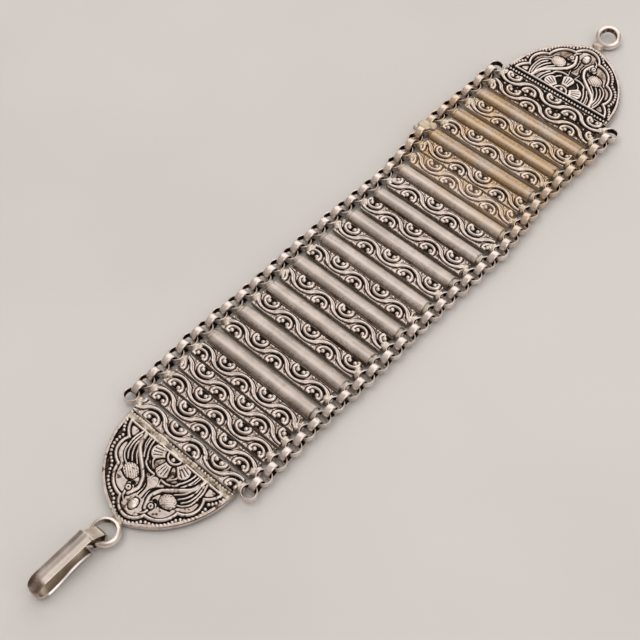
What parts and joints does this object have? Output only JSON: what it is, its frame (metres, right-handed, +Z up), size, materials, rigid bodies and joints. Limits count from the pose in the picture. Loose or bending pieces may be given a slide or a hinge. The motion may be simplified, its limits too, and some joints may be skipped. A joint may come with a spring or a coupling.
{
  "type": "silver bar link bracelet with hook clasp",
  "caption": "Flexible flat bracelet of narrow cross bars between two side chains, with arched stamped end panels, a catch ring and a swinging strip hook.",
  "frame": {"origin": "on the surface that the bracelet lies on, under the middle of its box", "axes": "+X along the bracelet from the hook to the catch ring, +Y across it, +Z up from the surface"},
  "size_m": [0.1952, 0.0396, 0.0061],
  "materials": {
    "scroll_silver": "stamped silver, dark tarnish in the recesses, worn bright on the ridges",
    "plain_silver": "plain silver with fine lengthwise scratches and a soft satin sheen",
    "panel_silver": "stamped silver, dark tarnish in the recesses, pale solder smears",
    "chain_silver": "silver ring bands, bright on the crowns, dark where they rub",
    "hook_silver": "half round silver strip, brown tarnish inside the bend"
  },
  "bodies": {
    "bracelet": {"hook_end_panel": "panel_silver", "ring_end_panel": "panel_silver", "chain_left": "chain_silver", "chain_right": "chain_silver", "scroll_bar_01": "scroll_silver", "scroll_bar_02": "scroll_silver", "scroll_bar_03": "scroll_silver", "scroll_bar_04": "scroll_silver", "scroll_bar_05": "scroll_silver", "scroll_bar_06": "scroll_silver", "scroll_bar_07": "scroll_silver", "scroll_bar_08": "scroll_silver", "scroll_bar_09": "scroll_silver", "scroll_bar_10": "scroll_silver", "scroll_bar_11": "scroll_silver", "scroll_bar_12": "scroll_silver", "scroll_bar_13": "scroll_silver", "scroll_bar_14": "scroll_silver", "scroll_bar_15": "scroll_silver", "scroll_bar_16": "scroll_silver", "plain_bar_01": "plain_silver", "plain_bar_02": "plain_silver", "plain_bar_03": "plain_silver", "plain_bar_04": "plain_silver", "plain_bar_05": "plain_silver", "plain_bar_06": "plain_silver", "plain_bar_07": "plain_silver", "plain_bar_08": "plain_silver", "plain_bar_09": "plain_silver", "plain_bar_10": "plain_silver", "plain_bar_11": "plain_silver"},
    "hook": {"hook": "hook_silver"}
  },
  "joints": [
    {"name": "hook_swing", "type": "hinge", "parent": "bracelet", "child": "hook", "pos_m": [-0.08193, -0.0008, 0.0018], "axis": [0, 1, 0], "range_deg": [0, 80]}
  ]
}
